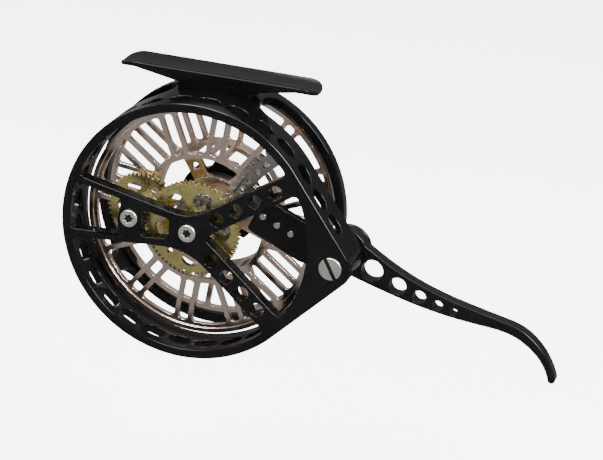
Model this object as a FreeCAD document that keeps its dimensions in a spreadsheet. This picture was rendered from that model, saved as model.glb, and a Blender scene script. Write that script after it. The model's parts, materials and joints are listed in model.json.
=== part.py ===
"""Semi-automatic fly reel: a skeleton cage, a spoked spool, and a finger lever that winds it through gears.

The model is laid out about the spool axis, which runs along +Y from the front plate at Y = 0 to the rear
ring. +X points to the lever and +Z to the foot. Every sub-part is then placed so that the row's origin is
the middle of the foot's seat.
"""
import FreeCAD, Part
import Sketcher
import math
import os
from FreeCAD import Vector

SIZES = [
    ("ring_radius", 42.0), ("rim_inner_radius", 39.1), ("plate_depth", 4.5), ("band_depth", 15.5),
    ("ring_front", 31.2), ("cage_depth", 36.0), ("plate_edge_round", 0.6), ("ring_edge_round", 1.1),
    ("pivot_x", 46.8), ("pivot_z", -3.0), ("corner_radius", 6.45), ("corner_cavity_radius", 5.0),
    ("arm_width", 6.8), ("root_round", 1.6),
    ("upper_arm_angle", 33.65), ("lower_arm_angle", -40.1), ("lower_arm_shift", -0.4),
    ("left_arm_top_angle", -12.0), ("left_arm_top_offset", 4.75),
    ("left_arm_bottom_angle", 4.2), ("left_arm_bottom_offset", -5.13),
    ("arm_hole_radius", 2.25), ("first_arm_hole", 11.15),
    ("upper_hole_pitch", 7.3), ("lower_hole_pitch", 7.05),
    ("slot_count", 28), ("slot_length", 7.2), ("slot_width", 5.4), ("slot_centre_depth", 6.6),
    ("seat_depth", 24.0), ("seat_height", 47.0), ("foot_length", 65.0), ("foot_width", 14.0),
    ("foot_tip_rise", 3.4), ("foot_body_height", 3.8), ("foot_base_half", 11.7), ("foot_corner_radius", 5.0),
    ("saddle_radius", 17.0), ("saddle_depth", 1.5), ("gutter_thickness", 1.2),
    ("axle_radius", 2.5), ("bush_radius", 3.2), ("running_gap", 0.03),
    ("screw_head_radius", 2.85), ("screw_seat_depth", 1.0), ("screw_head_proud", 0.5), ("screw_radius", 1.5),
    ("gear_module", 0.5), ("main_teeth", 60), ("inter_pinion_teeth", 18), ("inter_teeth", 44),
    ("spool_gear_teeth", 34), ("sector_module", 0.8), ("sector_teeth", 100), ("drive_teeth", 17),
    ("main_front", 4.9), ("main_width", 2.0), ("drive_front", 8.3), ("drive_width", 2.2),
    ("inter_front", 11.7), ("inter_width", 1.6), ("inter_z", 1.5), ("inter_axle_radius", 1.6),
    ("arm_front", 6.3), ("arm_thickness", 4.7), ("sector_front", 8.6), ("sector_thickness", 1.6),
    ("arm_angle", 156.5), ("arm_length", 29.3), ("sector_inner_radius", 34.6),
    ("lever_front", 16.0), ("lever_thickness", 4.8), ("lever_hub_radius", 7.4), ("hub_sleeve_radius", 3.4),
    ("pivot_radius", 2.0), ("pivot_bush_radius", 2.6), ("pivot_head_radius", 3.65),
    ("flange_front", 14.0), ("flange_thickness", 1.8), ("spool_back", 33.8), ("spool_radius", 38.2),
    ("lip_width", 1.5), ("lip_height", 0.6), ("spoke_pairs", 12), ("spoke_phase", 23.0),
    ("window_inner_radius", 21.6), ("front_window_radius", 35.4), ("rear_window_radius", 36.8),
    ("pair_gap", 2.9), ("spoke_width", 1.65), ("arbor_inner_radius", 20.2), ("arbor_outer_radius", 21.9),
    ("arbor_ring", 2.6), ("web_front", 28.4), ("web_thickness", 1.8), ("web_arm_width", 5.4),
    ("web_phase", 123.0),
    ("boss_radius", 11.0), ("boss_front", 24.0), ("hub_tube_radius", 7.0), ("hub_front", 17.5),
    ("hub_bore_radius", 5.5), ("sleeve_radius", 3.6), ("cup_inner_radius", 4.9), ("roller_radius", 0.62),
    ("knob_front", 31.3), ("knob_back", 35.8), ("knob_radius", 13.9),
]

doc = FreeCAD.newDocument("fly_reel")
sheet = doc.addObject("Spreadsheet::Sheet", "Sizes")
for row_number, (alias, value) in enumerate(SIZES, start=1):
    sheet.set("A%d" % row_number, alias)
    sheet.set("B%d" % row_number, str(value))
    sheet.setAlias("B%d" % row_number, alias)
doc.recompute()

parts = []
FRONT_NORMAL = Vector(0, 1, 0)
SPOOL_AXIS = (0.0, 0.0)


def size(alias):
    """Return one driving dimension from the sheet."""
    return float(sheet.get(alias))


PIVOT = (size("pivot_x"), size("pivot_z"))
PIVOT_DISTANCE = math.hypot(*PIVOT)
PIVOT_ANGLE = math.degrees(math.atan2(PIVOT[1], PIVOT[0]))
GEAR_DISTANCE = 0.5 * size("gear_module") * (size("main_teeth") + size("inter_pinion_teeth"))
INTER_AXIS = (-math.sqrt(GEAR_DISTANCE ** 2 - size("inter_z") ** 2), size("inter_z"))


# ---------------------------------------------------------------- helpers

def polar(radius, angle, centre=SPOOL_AXIS):
    """Return the (x, z) point at a radius and an angle in degrees about a centre."""
    turn = math.radians(angle)
    return centre[0] + radius * math.cos(turn), centre[1] + radius * math.sin(turn)


def front(point, depth=0.0):
    """Turn an (x, z) point and a depth into a vector of the model."""
    return Vector(point[0], depth, point[1])


def finish(obj, label):
    """Name a finished sub-part and move it to the row's frame."""
    obj.Label = label
    obj.setExpression("Placement.Base.y", "-Sizes.seat_depth")
    obj.setExpression("Placement.Base.z", "-Sizes.seat_height")
    parts.append(obj)
    return obj


def new_body(name):
    """Start a PartDesign body."""
    return doc.addObject("PartDesign::Body", name)


def plane_sketch(body, name, role="XZ_Plane", depth=None):
    """Attach a sketch to an origin plane of its body; depth is an expression for a shift along +Y or +Z."""
    sketch = body.newObject("Sketcher::SketchObject", name)
    plane = next(item for item in body.Origin.OriginFeatures if item.Role == role)
    sketch.AttachmentSupport = [(plane, "")]
    sketch.MapMode = "FlatFace"
    if depth:
        sign = "-" if role == "XZ_Plane" else ""
        sketch.setExpression("AttachmentOffset.Base.z", "%s(%s)" % (sign, depth))
    return sketch


def add_circle(sketch, centre, radius):
    """Add a circle whose radius is an expression of the sheet."""
    index = sketch.addGeometry(Part.Circle(Vector(centre[0], centre[1], 0), Vector(0, 0, 1), 1.0))
    constraint = sketch.addConstraint(Sketcher.Constraint("Radius", index, 1.0))
    sketch.setExpression("Constraints[%d]" % constraint, radius)


def pad(body, sketch, length, name):
    """Extrude a front sketch towards +Y."""
    feature = body.newObject("PartDesign::Pad", name)
    feature.Profile = sketch
    feature.Reversed = True
    feature.setExpression("Length", length)
    body.Tip = feature
    doc.recompute()
    return feature


def pocket(body, sketch, name, length=None, both_ways=False):
    """Cut a front sketch towards +Y, right through unless a length is given."""
    before = body.Shape.Volume
    feature = body.newObject("PartDesign::Pocket", name)
    feature.Profile = sketch
    if length:
        feature.setExpression("Length", length)
    else:
        feature.Type = "ThroughAll"
    feature.Midplane = both_ways
    body.Tip = feature
    doc.recompute()
    if feature.Shape.Volume >= before:
        raise RuntimeError(name + " cut nothing")
    return feature


def fillet(body, radius, chosen, name):
    """Round the edges of the body's tip that the chosen function picks."""
    base = body.Tip
    names = ["Edge%d" % number for number, edge in enumerate(base.Shape.Edges, start=1) if chosen(edge)]
    if not names:
        raise RuntimeError(name + " found no edge")
    feature = body.newObject("PartDesign::Fillet", name)
    feature.Base = (base, names)
    feature.setExpression("Radius", radius)
    body.Tip = feature
    doc.recompute()
    return feature


def at_depth(edge, depth):
    """Tell whether an edge lies in the plane Y = depth."""
    box = edge.BoundBox
    return abs(box.YMin - depth) < 0.01 and abs(box.YMax - depth) < 0.01


def shape_part(name, shape, label=None):
    """Hold a shape that was worked out in code; with a label it is a finished sub-part."""
    feature = doc.addObject("Part::Feature", name)
    feature.Shape = shape if shape.Placement.isIdentity() else Part.makeCompound([shape])
    if label:
        finish(feature, label)
    return feature


def cut_part(name, base, tool, label=None):
    """Subtract one object from another."""
    result = doc.addObject("Part::Cut", name)
    result.Base = base
    result.Tool = tool
    if label:
        finish(result, label)
    return result


def tube(name, centre, outer, inner, start, length, label):
    """A sleeve, bush, washer or ring along +Y, given by expressions."""
    body = new_body(name)
    sketch = plane_sketch(body, name + "_section", depth=start)
    add_circle(sketch, centre, outer)
    add_circle(sketch, centre, inner)
    pad(body, sketch, length, name + "_length")
    return finish(body, label)


def edge_line(angle, offset):
    """A straight edge as a point and a direction; offset is its distance to the left of the spool axis."""
    turn = math.radians(angle)
    return (-offset * math.sin(turn), offset * math.cos(turn)), (math.cos(turn), math.sin(turn))


def crossing(first, second):
    """Return the point where two edge lines meet."""
    (ax, az), (ux, uz) = first
    (bx, bz), (vx, vz) = second
    along = ((bx - ax) * vz - (bz - az) * vx) / (ux * vz - uz * vx)
    return ax + along * ux, az + along * uz


def on_circle(line, radius):
    """Return the point where an edge line leaves a circle about the spool axis, going along the line."""
    (px, pz), (ux, uz) = line
    half = px * ux + pz * uz
    along = -half + math.sqrt(half * half - px * px - pz * pz + radius * radius)
    return px + along * ux, pz + along * uz


def rounded(corners):
    """Return lines and arcs for a closed outline; each corner is (x, z, rounding radius)."""
    count = len(corners)
    ends = []
    curves = []
    for index, (x, z, radius) in enumerate(corners):
        corner = Vector(x, z, 0)
        back = Vector(*corners[index - 1][:2], 0) - corner
        ahead = Vector(*corners[(index + 1) % count][:2], 0) - corner
        back.normalize()
        ahead.normalize()
        if radius == 0:
            ends.append((corner, corner))
            continue
        half = back.getAngle(ahead) / 2
        reach = radius / math.tan(half)
        middle = (back + ahead).normalize()
        top = corner + middle * (radius / math.sin(half) - radius)
        ends.append((corner + back * reach, corner + ahead * reach))
        curves.append(Part.Arc(ends[-1][0], top, ends[-1][1]))
    for index in range(count):
        curves.append(Part.LineSegment(ends[index - 1][1], ends[index][0]))
    return curves


def flat_face(curves):
    """Turn a closed outline of lines and arcs into a face."""
    return Part.Face(Part.Wire(Part.sortEdges([curve.toShape() for curve in curves])[0]))


def outline_curves(face, rounding):
    """Round the outward corners of a face and return its outline as lines and arcs."""
    smooth = face.makeOffset2D(-rounding).makeOffset2D(rounding)
    curves = []
    for edge in smooth.Wires[0].Edges:
        begin = edge.valueAt(edge.FirstParameter)
        middle = edge.valueAt(0.5 * (edge.FirstParameter + edge.LastParameter))
        end = edge.valueAt(edge.LastParameter)
        straight = isinstance(edge.Curve, Part.Line)
        curves.append(Part.LineSegment(begin, end) if straight else Part.Arc(begin, middle, end))
    return curves


def ring_sector(inner, outer, first, second, middle):
    """Outline between two radii and two edge lines; middle is the angle halfway between the lines."""
    low = [on_circle(first, inner), on_circle(first, outer)]
    high = [on_circle(second, outer), on_circle(second, inner)]
    points = [Vector(*point, 0) for point in low + high]
    return [Part.LineSegment(points[0], points[1]),
            Part.Arc(points[1], Vector(*polar(outer, middle), 0), points[2]),
            Part.LineSegment(points[2], points[3]),
            Part.Arc(points[3], Vector(*polar(inner, middle), 0), points[0])]


def hull_of_circles(first, first_radius, second, second_radius):
    """Outline of two circles joined by their outer tangents, first the bigger one."""
    dx = second[0] - first[0]
    dz = second[1] - first[1]
    toward = math.degrees(math.atan2(dz, dx))
    spread = math.degrees(math.acos((first_radius - second_radius) / math.hypot(dx, dz)))
    points = []
    for centre, radius, angles in (
            (first, first_radius, (toward + spread, toward + 180, toward - spread + 360)),
            (second, second_radius, (toward - spread, toward, toward + spread))):
        points.append([Vector(*polar(radius, angle, centre), 0) for angle in angles])
    big, small = points
    return [Part.Arc(*big), Part.LineSegment(big[2], small[0]), Part.Arc(*small),
            Part.LineSegment(small[2], big[0])]


def gear_points(teeth, module, phase, first=0, last=None):
    """Outline points of involute teeth, one tooth being centred on the phase angle in degrees."""
    pressure = math.radians(20)
    thinning = 0.10
    addendum = 0.95
    dedendum = 1.25
    pitch_radius = 0.5 * module * teeth
    base_radius = pitch_radius * math.cos(pressure)
    root_radius = pitch_radius - dedendum * module
    tip_radius = pitch_radius + addendum * module
    half_pitch = (math.pi / 2 - thinning) / teeth + math.tan(pressure) - pressure
    flank = []
    for radius in (root_radius, max(base_radius, root_radius + 0.05 * module), pitch_radius, tip_radius):
        roll = math.acos(min(1.0, base_radius / radius))
        flank.append((radius, half_pitch - (math.tan(roll) - roll)))
    points = []
    for index in range(first, teeth if last is None else last):
        centre = math.radians(phase) + 2 * math.pi * index / teeth
        for radius, half in flank:
            points.append(polar(radius, math.degrees(centre - half)))
        for radius, half in reversed(flank):
            points.append(polar(radius, math.degrees(centre + half)))
    return points


def slot_outline(centre, distance, angle, width, length):
    """A round-ended slot across the radius, at a distance and angle from a centre."""
    half = width / 2
    reach = length / 2
    corners = [(-half, -reach), (half, -reach), (half, reach), (-half, reach)]
    outward = polar(1, angle)
    middle = polar(distance, angle, centre)
    return rounded([(middle[0] + u * outward[0] - v * outward[1], middle[1] + u * outward[1] + v * outward[0],
                     half - 0.05) for u, v in corners])


def gear_body(name, centre, teeth, module, phase, start, width, bore, holes=(), slots=()):
    """A spur gear; holes are (distance, angle, radius), slots are (distance, angle, width, length)."""
    body = new_body(name)
    outline = plane_sketch(body, name + "_teeth", depth=start)
    points = [Vector(centre[0] + x, centre[1] + z, 0) for x, z in gear_points(teeth, module, phase)]
    outline.addGeometry([Part.LineSegment(points[i - 1], points[i]) for i in range(len(points))], False)
    pad(body, outline, width, name + "_blank")
    openings = plane_sketch(body, name + "_openings", depth=start)
    add_circle(openings, centre, bore)
    for distance, angle, radius in holes:
        add_circle(openings, polar(distance, angle, centre), str(radius))
    for distance, angle, slot_width, slot_length in slots:
        openings.addGeometry(slot_outline(centre, distance, angle, slot_width, slot_length), False)
    pocket(body, openings, name + "_holes")
    return finish(body, name)


# ---------------------------------------------------------------- frame

def bridge_outline():
    """Y-shaped bridge: a tapering left arm and two parallel-sided right arms, ending inside the rim."""
    half = size("arm_width") / 2
    shift = size("lower_arm_shift")
    reach = 0.5 * (size("ring_radius") + size("rim_inner_radius"))
    left_top = edge_line(size("left_arm_top_angle"), size("left_arm_top_offset"))
    left_bottom = edge_line(size("left_arm_bottom_angle"), size("left_arm_bottom_offset"))
    upper_top = edge_line(size("upper_arm_angle"), half)
    upper_bottom = edge_line(size("upper_arm_angle"), -half)
    lower_top = edge_line(size("lower_arm_angle"), shift + half)
    lower_bottom = edge_line(size("lower_arm_angle"), shift - half)
    back_top = (left_top[0], (-left_top[1][0], -left_top[1][1]))
    back_bottom = (left_bottom[0], (-left_bottom[1][0], -left_bottom[1][1]))
    saddle_round = 15.0
    belly_round = 20.0
    corners = [
        (*on_circle(back_top, reach), 0),
        (*crossing(left_top, upper_top), saddle_round),
        (*on_circle(upper_top, reach), 0),
        (*on_circle(upper_bottom, reach), 0),
        (*crossing(upper_bottom, lower_top), 0),
        (*on_circle(lower_top, reach), 0),
        (*on_circle(lower_bottom, reach), 0),
        (*crossing(lower_bottom, left_bottom), belly_round),
        (*on_circle(back_bottom, reach), 0)]
    return rounded(corners)


def bridge_gaps():
    """The three large openings of the front plate, between the bridge's arms, with rounded corners."""
    bore = Part.Face(Part.Wire(Part.makeCircle(size("rim_inner_radius"))))
    return [outline_curves(gap, size("root_round")) for gap in bore.cut(flat_face(bridge_outline())).Faces]


def left_window_outline():
    """Window at the outer end of the left arm; its outer side follows the rim."""
    rim = size("rim_inner_radius")
    top = edge_line(size("left_arm_top_angle") + 180, -(size("left_arm_top_offset") - 2.15))
    bottom = edge_line(183.0, 3.3)
    far_side = ring_sector(23.2, rim, top, bottom, 180)
    block = flat_face(rounded([(-50, -20, 0), (-22.5, -20, 0), (-22.5, 20, 0), (-50, 20, 0)]))
    return outline_curves(flat_face(far_side).common(block).Faces[0], 1.3)


def frame_windows(body):
    """Cut the two small windows, the arm holes and the screw holes in the bridge."""
    sketch = plane_sketch(body, "bridge_windows")
    sketch.addGeometry(left_window_outline(), False)
    sketch.addGeometry(rounded([(-15.4, 5.3, 1.3), (-6.1, 3.6, 1.3),
                                (-6.1, -2.9, 1.6), (-15.4, -3.9, 1.6)]), False)
    for angle, shift, pitch in ((size("upper_arm_angle"), 0.0, size("upper_hole_pitch")),
                                (size("lower_arm_angle"), size("lower_arm_shift"), size("lower_hole_pitch"))):
        start, along = edge_line(angle, shift)
        for index in range(4):
            distance = size("first_arm_hole") + index * pitch
            centre = (start[0] + distance * along[0], start[1] + distance * along[1])
            add_circle(sketch, centre, "Sizes.arm_hole_radius")
    add_circle(sketch, SPOOL_AXIS, "Sizes.screw_radius")
    add_circle(sketch, INTER_AXIS, "Sizes.screw_radius")
    add_circle(sketch, PIVOT, "Sizes.pivot_radius")
    pocket(body, sketch, "bridge_window_cut")
    seats = plane_sketch(body, "screw_seats")
    add_circle(seats, SPOOL_AXIS, "Sizes.screw_head_radius + 0.25")
    add_circle(seats, INTER_AXIS, "Sizes.screw_head_radius + 0.25")
    add_circle(seats, PIVOT, "Sizes.pivot_head_radius + 0.2")
    pocket(body, seats, "screw_seat_cut", "Sizes.screw_seat_depth")


def rim_slot(centre, direction):
    """A rounded slot tool that pierces the rim wall along an outward direction."""
    half_width = size("slot_width") / 2
    half_run = size("slot_length") / 2 - half_width
    depth = size("slot_centre_depth")
    along = Vector(-direction[1], 0, direction[0])
    outward = Vector(direction[0], 0, direction[1])
    start = front(centre, depth) - outward * 2.2
    back = Vector(0, half_width, 0)
    left = start - along * half_run
    right = start + along * half_run
    edges = [Part.LineSegment(left + back, right + back).toShape(),
             Part.Arc(right + back, right + along * half_width, right - back).toShape(),
             Part.LineSegment(right - back, left - back).toShape(),
             Part.Arc(left - back, left - along * half_width, left + back).toShape()]
    return Part.Face(Part.Wire(edges)).extrude(outward * 8)


def rim_slot_tools():
    """Slots round the whole rim wall: on the round part by angle, on the two straight sides by distance."""
    middle_radius = 0.5 * (size("ring_radius") + size("rim_inner_radius"))
    pitch_angle = 360 / size("slot_count")
    spread = math.degrees(math.acos((size("ring_radius") - size("corner_radius")) / PIVOT_DISTANCE))
    phase = -93.2
    tools = []
    for index in range(int(size("slot_count"))):
        angle = phase + index * pitch_angle
        from_corner = abs((angle - PIVOT_ANGLE + 180) % 360 - 180)
        if from_corner > spread + 2:
            tools.append(rim_slot(polar(middle_radius, angle), polar(1, angle)))
    pitch = math.radians(pitch_angle) * middle_radius
    for side in (1, -1):
        normal = polar(1, PIVOT_ANGLE + side * spread)
        run = (side * normal[1], -side * normal[0])
        for index in range(3):
            distance = (index + 0.2) * pitch
            centre = (normal[0] * middle_radius + run[0] * distance,
                      normal[1] * middle_radius + run[1] * distance)
            tools.append(rim_slot(centre, normal))
    return tools


def cage_window(start, end):
    """Opening between two cross bars, from the front band to the rear ring, with rounded corners."""
    inner = size("rim_inner_radius") - 4
    outer = size("ring_radius") + 4
    low = size("band_depth")
    high = size("ring_front")
    corner_radius = 6.0
    corners = [Vector(inner, low, 0), Vector(outer, low, 0), Vector(outer, high, 0), Vector(inner, high, 0)]
    face = Part.Face(Part.makePolygon(corners + corners[:1]))
    face.rotate(Vector(0, 0, 0), Vector(0, 1, 0), -start)
    block = face.revolve(Vector(0, 0, 0), Vector(0, -1, 0), end - start)
    radial = [edge for edge in block.Edges
              if isinstance(edge.Curve, Part.Line) and abs(edge.BoundBox.YLength) < 0.01]
    return block.makeFillet(corner_radius, radial)


def foot_screw_seats():
    """Countersunk seats for the two foot screws, from inside the top cross bar."""
    tools = []
    inside = size("rim_inner_radius") - 3.1
    seat_floor = size("rim_inner_radius") + 1.5
    for x in FOOT_SCREW_PLACES:
        base = Vector(x, size("seat_depth"), inside)
        tools.append(Part.makeCylinder(FOOT_SCREW_RADIUS, 12, base, UP))
        tools.append(Part.makeCylinder(FOOT_SCREW_HEAD_RADIUS + 0.1, seat_floor - inside, base, UP))
    return tools


FOOT_SCREW_PLACES = (-7.0, 7.0)
FOOT_SCREW_RADIUS = 1.25
FOOT_SCREW_HEAD_RADIUS = 2.3
UP = Vector(0, 0, 1)
BAR_SPANS = ((70, 110), (214.3, 222), (318, 325.7))


def make_frame():
    """Front plate, rim wall, cross bars and rear ring, one machined piece."""
    body = new_body("frame_body")
    outline = hull_of_circles(SPOOL_AXIS, size("ring_radius"), PIVOT, size("corner_radius"))
    plate = plane_sketch(body, "plate_outline")
    plate.addGeometry(outline, False)
    pad(body, plate, "Sizes.plate_depth", "front_plate")
    gaps = plane_sketch(body, "bridge_gaps")
    for gap in bridge_gaps():
        gaps.addGeometry(gap, False)
    pocket(body, gaps, "bridge_gap_cut")
    frame_windows(body)
    wall = plane_sketch(body, "wall_section", depth="Sizes.plate_depth")
    wall.addGeometry(outline, False)
    wall.addGeometry(hull_of_circles(SPOOL_AXIS, size("rim_inner_radius"),
                                     PIVOT, size("corner_cavity_radius")), False)
    pad(body, wall, "Sizes.band_depth - Sizes.plate_depth", "rim_wall")
    cage = plane_sketch(body, "cage_section", depth="Sizes.band_depth")
    add_circle(cage, SPOOL_AXIS, "Sizes.ring_radius")
    add_circle(cage, SPOOL_AXIS, "Sizes.rim_inner_radius")
    pad(body, cage, "Sizes.cage_depth - Sizes.band_depth", "cage_wall")
    fillet(body, "Sizes.plate_edge_round", lambda edge: at_depth(edge, 0) and is_outer_edge(edge),
           "front_edge_round")
    fillet(body, "Sizes.ring_edge_round", lambda edge: at_depth(edge, size("cage_depth"))
           and abs(edge.BoundBox.XMax - size("ring_radius")) < 0.01, "rear_edge_round")
    tools = rim_slot_tools()
    spans = [(BAR_SPANS[0][1], BAR_SPANS[1][0]), (BAR_SPANS[1][1], BAR_SPANS[2][0]),
             (BAR_SPANS[2][1] - 360, BAR_SPANS[0][0])]
    tools += [cage_window(start, end) for start, end in spans]
    tools += foot_screw_seats()
    tool = shape_part("frame_openings", Part.makeCompound(tools))
    cut_part("frame", body, tool, "frame")


def is_outer_edge(edge):
    """Tell whether an edge belongs to the plate's outer outline."""
    middle = edge.valueAt(0.5 * (edge.FirstParameter + edge.LastParameter))
    radius = math.hypot(middle.x, middle.z)
    from_pivot = math.hypot(middle.x - PIVOT[0], middle.z - PIVOT[1])
    straight = isinstance(edge.Curve, Part.Line) and radius > size("ring_radius")
    return straight or abs(radius - size("ring_radius")) < 0.01 or abs(
        from_pivot - size("corner_radius")) < 0.01 and middle.x > PIVOT[0]


# ---------------------------------------------------------------- foot

def foot_blank(body):
    """The foot's side profile, tapered towards both tips, with the base block under its middle."""
    height = size("seat_height")
    half = size("foot_length") / 2
    base_half = size("foot_base_half")
    under = height - size("foot_body_height")
    tip = under + size("foot_tip_rise")
    base_drop = 6
    profile = plane_sketch(body, "side_profile", depth="Sizes.seat_depth - Sizes.foot_width / 2")
    profile.addGeometry(rounded([
        (-half, height, 0), (half, height, 0), (half, tip, 0), (base_half + 1, under, 2),
        (base_half, under - 0.01, 0), (base_half, under - base_drop, 0), (-base_half, under - base_drop, 0),
        (-base_half, under - 0.01, 0), (-base_half - 1, under, 2), (-half, tip, 0)]), False)
    pad(body, profile, "Sizes.foot_width", "foot_blank")


def foot_gutter(body):
    """The thin curved shell of the foot and the hollow that the rod lies in."""
    height = size("seat_height")
    gutter_radius = size("saddle_radius") + size("gutter_thickness")
    centre_height = height + size("saddle_radius") - size("saddle_depth")
    wing = size("foot_width") / 2
    drop = centre_height - math.sqrt(gutter_radius ** 2 - wing ** 2)
    low, high = size("seat_depth") - wing, size("seat_depth") + wing
    gutter = plane_sketch(body, "gutter_section", role="YZ_Plane")
    gutter.addGeometry([
        Part.LineSegment(Vector(low, height, 0), Vector(high, height, 0)),
        Part.LineSegment(Vector(high, height, 0), Vector(high, drop, 0)),
        Part.Arc(Vector(high, drop, 0), Vector(size("seat_depth"), centre_height - gutter_radius, 0),
                 Vector(low, drop, 0)),
        Part.LineSegment(Vector(low, drop, 0), Vector(low, height, 0))], False)
    strip = body.newObject("PartDesign::Pad", "gutter_strip")
    strip.Profile = gutter
    strip.Midplane = True
    strip.setExpression("Length", "Sizes.foot_length")
    body.Tip = strip
    doc.recompute()
    saddle = plane_sketch(body, "saddle", role="YZ_Plane")
    add_circle(saddle, (size("seat_depth"), centre_height), "Sizes.saddle_radius")
    pocket(body, saddle, "saddle_cut", "2 * Sizes.foot_length", both_ways=True)


def foot_outline(body):
    """Trim the foot to its rounded outline, seen from above."""
    half = size("foot_length") / 2
    low = size("seat_depth") - size("foot_width") / 2
    high = size("seat_depth") + size("foot_width") / 2
    corner = size("foot_corner_radius")
    far = half + 10
    plan = plane_sketch(body, "plan_outline", role="XY_Plane")
    plan.addGeometry(rounded([(-half, low, corner), (half, low, corner), (half, high, corner),
                              (-half, high, corner)]), False)
    plan.addGeometry(rounded([(-far, low - 10, 0), (far, low - 10, 0), (far, high + 10, 0),
                              (-far, high + 10, 0)]), False)
    pocket(body, plan, "plan_cut", "4 * Sizes.seat_height", both_ways=True)


def make_foot():
    """Foot with thin hollow tips and a base that sits on the top cross bar."""
    body = new_body("reel_foot")
    foot_blank(body)
    foot_gutter(body)
    seat = plane_sketch(body, "cage_seat")
    add_circle(seat, SPOOL_AXIS, "Sizes.ring_radius")
    pocket(body, seat, "cage_seat_cut")
    foot_outline(body)
    holes = plane_sketch(body, "screw_holes", role="XY_Plane", depth="Sizes.ring_radius - 4")
    for x in FOOT_SCREW_PLACES:
        add_circle(holes, (x, size("seat_depth")), str(FOOT_SCREW_RADIUS))
    before = body.Shape.Volume
    bores = body.newObject("PartDesign::Pocket", "screw_bores")
    bores.Profile = holes
    bores.Reversed = True
    bores.Length = 6.5
    body.Tip = bores
    doc.recompute()
    if bores.Shape.Volume >= before:
        raise RuntimeError("the screw bores cut nothing")
    finish(body, "reel_foot")


def make_foot_screws():
    """Two countersunk screws that hold the foot from inside the cage."""
    screws = []
    for x in FOOT_SCREW_PLACES:
        floor = size("rim_inner_radius") - 0.6
        head_base = Vector(x, size("seat_depth"), floor + 0.1)
        shank_base = Vector(x, size("seat_depth"), floor + 1.0)
        head = Part.makeCylinder(FOOT_SCREW_HEAD_RADIUS, 1.4, head_base, UP)
        shank = Part.makeCylinder(FOOT_SCREW_RADIUS, 5.0, shank_base, UP)
        socket = hex_prism(1.0, 0.9, head_base, UP)
        screws.append(head.fuse(shank).cut(socket))
    shape_part("foot_screws", Part.makeCompound(screws), "foot_screws")


def hex_prism(radius, depth, base, axis):
    """A six-sided recess tool that starts at base and runs along an axis."""
    corners = [Vector(radius * math.cos(math.radians(60 * i)), radius * math.sin(math.radians(60 * i)), 0)
               for i in range(6)]
    prism = Part.Face(Part.makePolygon(corners + corners[:1])).extrude(Vector(0, 0, depth))
    prism.Placement = FreeCAD.Placement(base, FreeCAD.Rotation(Vector(0, 0, 1), axis))
    return prism


# ---------------------------------------------------------------- axles and screws

def six_lobe_screw(name, centre, shank_end):
    """A low-head screw with a six-lobe recess, sunk in its seat in the bridge."""
    proud = size("screw_head_proud")
    seat = size("screw_seat_depth")
    lobe_reach = 1.15
    recess_depth = 1.1
    start = front(centre, -proud)
    head = Part.makeCylinder(size("screw_head_radius"), seat + proud, start, FRONT_NORMAL)
    top_edges = [edge for edge in head.Edges if at_depth(edge, -proud)]
    head = head.makeFillet(0.35, top_edges)
    shank = Part.makeCylinder(size("screw_radius"), shank_end - seat, front(centre, seat), FRONT_NORMAL)
    recess = Part.makeCylinder(lobe_reach, recess_depth, start, FRONT_NORMAL)
    for index in range(6):
        lobe = front(polar(lobe_reach, 60 * index + 15, centre), -proud)
        recess = recess.fuse(Part.makeCylinder(0.42, recess_depth, lobe, FRONT_NORMAL))
    shape_part(name, head.fuse(shank).cut(recess), name)


def bored_axle(centre, radius, end, bore_end):
    """A fixed axle behind the bridge, threaded at the front for its screw."""
    start = size("plate_depth")
    axle = Part.makeCylinder(radius, end - start, front(centre, start), FRONT_NORMAL)
    bore = Part.makeCylinder(size("screw_radius"), bore_end - start, front(centre, start), FRONT_NORMAL)
    return axle.cut(bore)


def make_axles():
    """Spool axle and intermediate axle with their screws."""
    spool_axle = bored_axle(SPOOL_AXIS, size("axle_radius"), 34.4, 9.0)
    rear_bore = Part.makeCylinder(1.2, 5.0, Vector(0, 29.4, 0), FRONT_NORMAL)
    shape_part("spool_axle", spool_axle.cut(rear_bore), "spool_axle")
    inter = size("inter_axle_radius") + 0.4
    shape_part("intermediate_axle", bored_axle(INTER_AXIS, inter, 13.5, 9.0),
               "intermediate_axle")
    six_lobe_screw("axle_screw", SPOOL_AXIS, 9.0)
    six_lobe_screw("intermediate_screw", INTER_AXIS, 9.0)


# ---------------------------------------------------------------- gear train

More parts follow.
